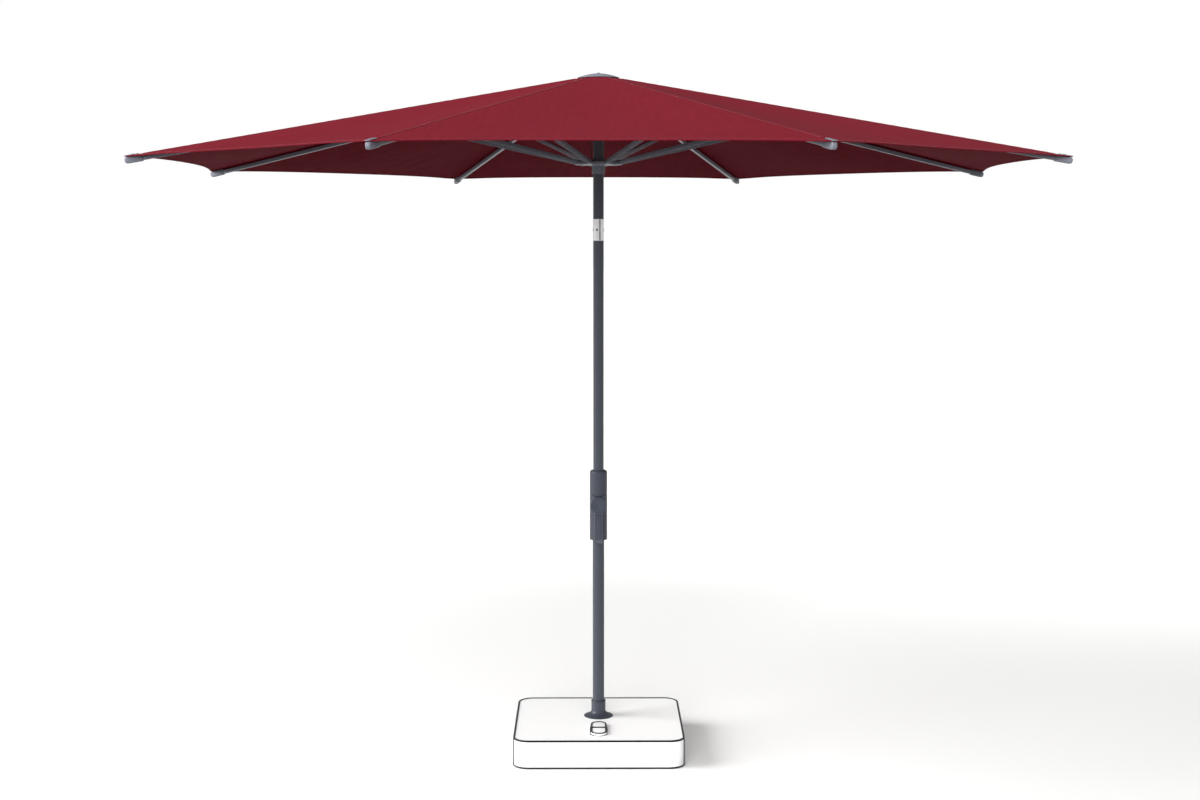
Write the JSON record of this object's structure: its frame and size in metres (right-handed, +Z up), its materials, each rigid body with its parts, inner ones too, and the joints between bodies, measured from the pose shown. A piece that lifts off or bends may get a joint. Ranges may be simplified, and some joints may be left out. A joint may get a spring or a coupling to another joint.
{
  "type": "patio umbrella with base",
  "caption": "Octagonal garden umbrella on a weighted square base, with folding ribs, a crank lift, a tilting knuckle and a turning mast locked by a foot pedal.",
  "frame": {"origin": "on the ground on the mast's axis, which is the bottom centre of the whole part's bounding box", "axes": "+Z up along the mast; the crank and the foot pedal face -Y; X runs across"},
  "size_m": [3.0568, 3.0568, 2.4418],
  "materials": {
    "granite": "rough cast",
    "white_cover": "satin",
    "black_bead": "matte",
    "steel": "painted black",
    "zinc_steel": "zinc plated",
    "bush_plastic": "matte",
    "mast_grey": "powder coated, dark slate grey",
    "housing_grey": "satin moulded",
    "bright_alloy": "polished",
    "frame_grey": "powder coated grey",
    "fitting_grey": "satin moulded",
    "red_fabric": "woven",
    "cord_braid": "braided"
  },
  "bodies": {
    "base": {"base_tray": "steel", "base_cover": "white_cover", "edge_trims": "black_bead", "ballast_blocks": "granite", "base_feet": "black_bead", "socket_tube": "steel", "mast_bushes": "bush_plastic", "rosette": "mast_grey", "pedal_well": "steel", "pedal_axle": "zinc_steel"},
    "pedal": {"foot_pedal": "white_cover"},
    "brake": {"brake_rod": "zinc_steel"},
    "mast": {"lower_mast": "mast_grey", "mid_mast": "mast_grey", "housing_body": "housing_grey", "housing_top": "housing_grey", "lower_knuckle": "bright_alloy", "tilt_pin": "zinc_steel", "lift_cord_lower": "cord_braid", "brake_band": "zinc_steel"},
    "crank": {"crank_shaft": "zinc_steel", "brake_drum": "zinc_steel", "cord_spool": "bush_plastic", "cord_winding": "cord_braid", "crank_arm": "housing_grey"},
    "grip": {"crank_grip": "housing_grey"},
    "crown": {"upper_knuckle": "bright_alloy", "upper_mast": "mast_grey", "crown_hub": "fitting_grey", "crown_pins": "zinc_steel", "crown_cap": "fitting_grey", "lift_cord_upper": "cord_braid", "lift_cord_drop": "cord_braid", "canopy": "red_fabric"},
    "pulley": {"cord_pulley": "bush_plastic"},
    "runner": {"runner": "fitting_grey"},
    "rib_1": {"rib_1": "frame_grey", "rib_fittings_1": "fitting_grey"},
    "strut_1": {"strut_1": "frame_grey"},
    "rib_2": {"rib_2": "frame_grey", "rib_fittings_2": "fitting_grey"},
    "strut_2": {"strut_2": "frame_grey"},
    "rib_3": {"rib_3": "frame_grey", "rib_fittings_3": "fitting_grey"},
    "strut_3": {"strut_3": "frame_grey"},
    "rib_4": {"rib_4": "frame_grey", "rib_fittings_4": "fitting_grey"},
    "strut_4": {"strut_4": "frame_grey"},
    "rib_5": {"rib_5": "frame_grey", "rib_fittings_5": "fitting_grey"},
    "strut_5": {"strut_5": "frame_grey"},
    "rib_6": {"rib_6": "frame_grey", "rib_fittings_6": "fitting_grey"},
    "strut_6": {"strut_6": "frame_grey"},
    "rib_7": {"rib_7": "frame_grey", "rib_fittings_7": "fitting_grey"},
    "strut_7": {"strut_7": "frame_grey"},
    "rib_8": {"rib_8": "frame_grey", "rib_fittings_8": "fitting_grey"},
    "strut_8": {"strut_8": "frame_grey"}
  },
  "joints": [
    {"name": "mast_turn", "type": "hinge", "parent": "base", "child": "mast", "pos_m": [0, 0, 0], "axis": [0, 0, 1], "continuous": true},
    {"name": "tilt", "type": "hinge", "parent": "mast", "child": "crown", "pos_m": [0, 0, 1.8845], "axis": [1, 0, 0], "range_deg": [0, 35], "deforming": ["lift_cord_upper"]},
    {"name": "runner_slide", "type": "slide", "parent": "crown", "child": "runner", "axis": [0, 0, 1], "range_m": [-1.05052, 0], "deforming": ["lift_cord_drop", "canopy"]},
    {"name": "pedal_rock", "type": "hinge", "parent": "base", "child": "pedal", "pos_m": [0, -0.187, 0.089], "axis": [1, 0, 0], "range_deg": [-5, 5]},
    {"name": "brake_slide", "type": "slide", "parent": "base", "child": "brake", "axis": [0, 1, 0], "range_m": [-0.0032, 0.0032]},
    {"name": "crank_turn", "type": "hinge", "parent": "mast", "child": "crank", "pos_m": [0, 0, 0.8905], "axis": [0, 1, 0], "range_deg": [-5045, 0]},
    {"name": "grip_fold", "type": "hinge", "parent": "crank", "child": "grip", "pos_m": [0, -0.0435, 0.768], "axis": [1, 0, 0], "range_deg": [0, 90]},
    {"name": "pulley_turn", "type": "hinge", "parent": "crown", "child": "pulley", "pos_m": [-0.013, 0, 2.38], "axis": [0, 1, 0], "range_deg": [-4632, 0]},
    {"name": "rib_fold_1", "type": "hinge", "parent": "crown", "child": "rib_1", "pos_m": [0.05359, 0.0222, 2.411], "axis": [-0.3827, 0.9239, 0], "range_deg": [0, 76.65]},
    {"name": "strut_swing_1", "type": "hinge", "parent": "rib_1", "child": "strut_1", "pos_m": [0.6617, 0.27408, 2.26388], "axis": [0.3827, -0.9239, 0], "range_deg": [0, 154.18]},
    {"name": "rib_fold_2", "type": "hinge", "parent": "crown", "child": "rib_2", "pos_m": [0.0222, 0.05359, 2.411], "axis": [-0.9239, 0.3827, 0], "range_deg": [0, 76.65]},
    {"name": "strut_swing_2", "type": "hinge", "parent": "rib_2", "child": "strut_2", "pos_m": [0.27408, 0.6617, 2.26388], "axis": [0.9239, -0.3827, 0], "range_deg": [0, 154.18]},
    {"name": "rib_fold_3", "type": "hinge", "parent": "crown", "child": "rib_3", "pos_m": [-0.0222, 0.05359, 2.411], "axis": [-0.9239, -0.3827, 0], "range_deg": [0, 76.65]},
    {"name": "strut_swing_3", "type": "hinge", "parent": "rib_3", "child": "strut_3", "pos_m": [-0.27408, 0.6617, 2.26388], "axis": [0.9239, 0.3827, 0], "range_deg": [0, 154.18]},
    {"name": "rib_fold_4", "type": "hinge", "parent": "crown", "child": "rib_4", "pos_m": [-0.05359, 0.0222, 2.411], "axis": [-0.3827, -0.9239, 0], "range_deg": [0, 76.65]},
    {"name": "strut_swing_4", "type": "hinge", "parent": "rib_4", "child": "strut_4", "pos_m": [-0.6617, 0.27408, 2.26388], "axis": [0.3827, 0.9239, 0], "range_deg": [0, 154.18]},
    {"name": "rib_fold_5", "type": "hinge", "parent": "crown", "child": "rib_5", "pos_m": [-0.05359, -0.0222, 2.411], "axis": [0.3827, -0.9239, 0], "range_deg": [0, 76.65]},
    {"name": "strut_swing_5", "type": "hinge", "parent": "rib_5", "child": "strut_5", "pos_m": [-0.6617, -0.27408, 2.26388], "axis": [-0.3827, 0.9239, 0], "range_deg": [0, 154.18]},
    {"name": "rib_fold_6", "type": "hinge", "parent": "crown", "child": "rib_6", "pos_m": [-0.0222, -0.05359, 2.411], "axis": [0.9239, -0.3827, 0], "range_deg": [0, 76.65]},
    {"name": "strut_swing_6", "type": "hinge", "parent": "rib_6", "child": "strut_6", "pos_m": [-0.27408, -0.6617, 2.26388], "axis": [-0.9239, 0.3827, 0], "range_deg": [0, 154.18]},
    {"name": "rib_fold_7", "type": "hinge", "parent": "crown", "child": "rib_7", "pos_m": [0.0222, -0.05359, 2.411], "axis": [0.9239, 0.3827, 0], "range_deg": [0, 76.65]},
    {"name": "strut_swing_7", "type": "hinge", "parent": "rib_7", "child": "strut_7", "pos_m": [0.27408, -0.6617, 2.26388], "axis": [-0.9239, -0.3827, 0], "range_deg": [0, 154.18]},
    {"name": "rib_fold_8", "type": "hinge", "parent": "crown", "child": "rib_8", "pos_m": [0.05359, -0.0222, 2.411], "axis": [0.3827, 0.9239, 0], "range_deg": [0, 76.65]},
    {"name": "strut_swing_8", "type": "hinge", "parent": "rib_8", "child": "strut_8", "pos_m": [0.6617, -0.27408, 2.26388], "axis": [-0.3827, -0.9239, 0], "range_deg": [0, 154.18]}
  ],
  "couplings": [
    {"joint": "brake_slide", "follows": "pedal_rock", "m_per_rad": 0.035},
    {"joint": "crank_turn", "follows": "runner_slide", "rad_per_m": 83.735},
    {"joint": "pulley_turn", "follows": "runner_slide", "rad_per_m": 76.923},
    {"joint": "rib_fold_1", "follows": "runner_slide", "rad_per_m": -1.2726},
    {"joint": "strut_swing_1", "follows": "runner_slide", "rad_per_m": -2.5607},
    {"joint": "rib_fold_2", "follows": "runner_slide", "rad_per_m": -1.2726},
    {"joint": "strut_swing_2", "follows": "runner_slide", "rad_per_m": -2.5607},
    {"joint": "rib_fold_3", "follows": "runner_slide", "rad_per_m": -1.2726},
    {"joint": "strut_swing_3", "follows": "runner_slide", "rad_per_m": -2.5607},
    {"joint": "rib_fold_4", "follows": "runner_slide", "rad_per_m": -1.2726},
    {"joint": "strut_swing_4", "follows": "runner_slide", "rad_per_m": -2.5607},
    {"joint": "rib_fold_5", "follows": "runner_slide", "rad_per_m": -1.2726},
    {"joint": "strut_swing_5", "follows": "runner_slide", "rad_per_m": -2.5607},
    {"joint": "rib_fold_6", "follows": "runner_slide", "rad_per_m": -1.2726},
    {"joint": "strut_swing_6", "follows": "runner_slide", "rad_per_m": -2.5607},
    {"joint": "rib_fold_7", "follows": "runner_slide", "rad_per_m": -1.2726},
    {"joint": "strut_swing_7", "follows": "runner_slide", "rad_per_m": -2.5607},
    {"joint": "rib_fold_8", "follows": "runner_slide", "rad_per_m": -1.2726},
    {"joint": "strut_swing_8", "follows": "runner_slide", "rad_per_m": -2.5607}
  ]
}
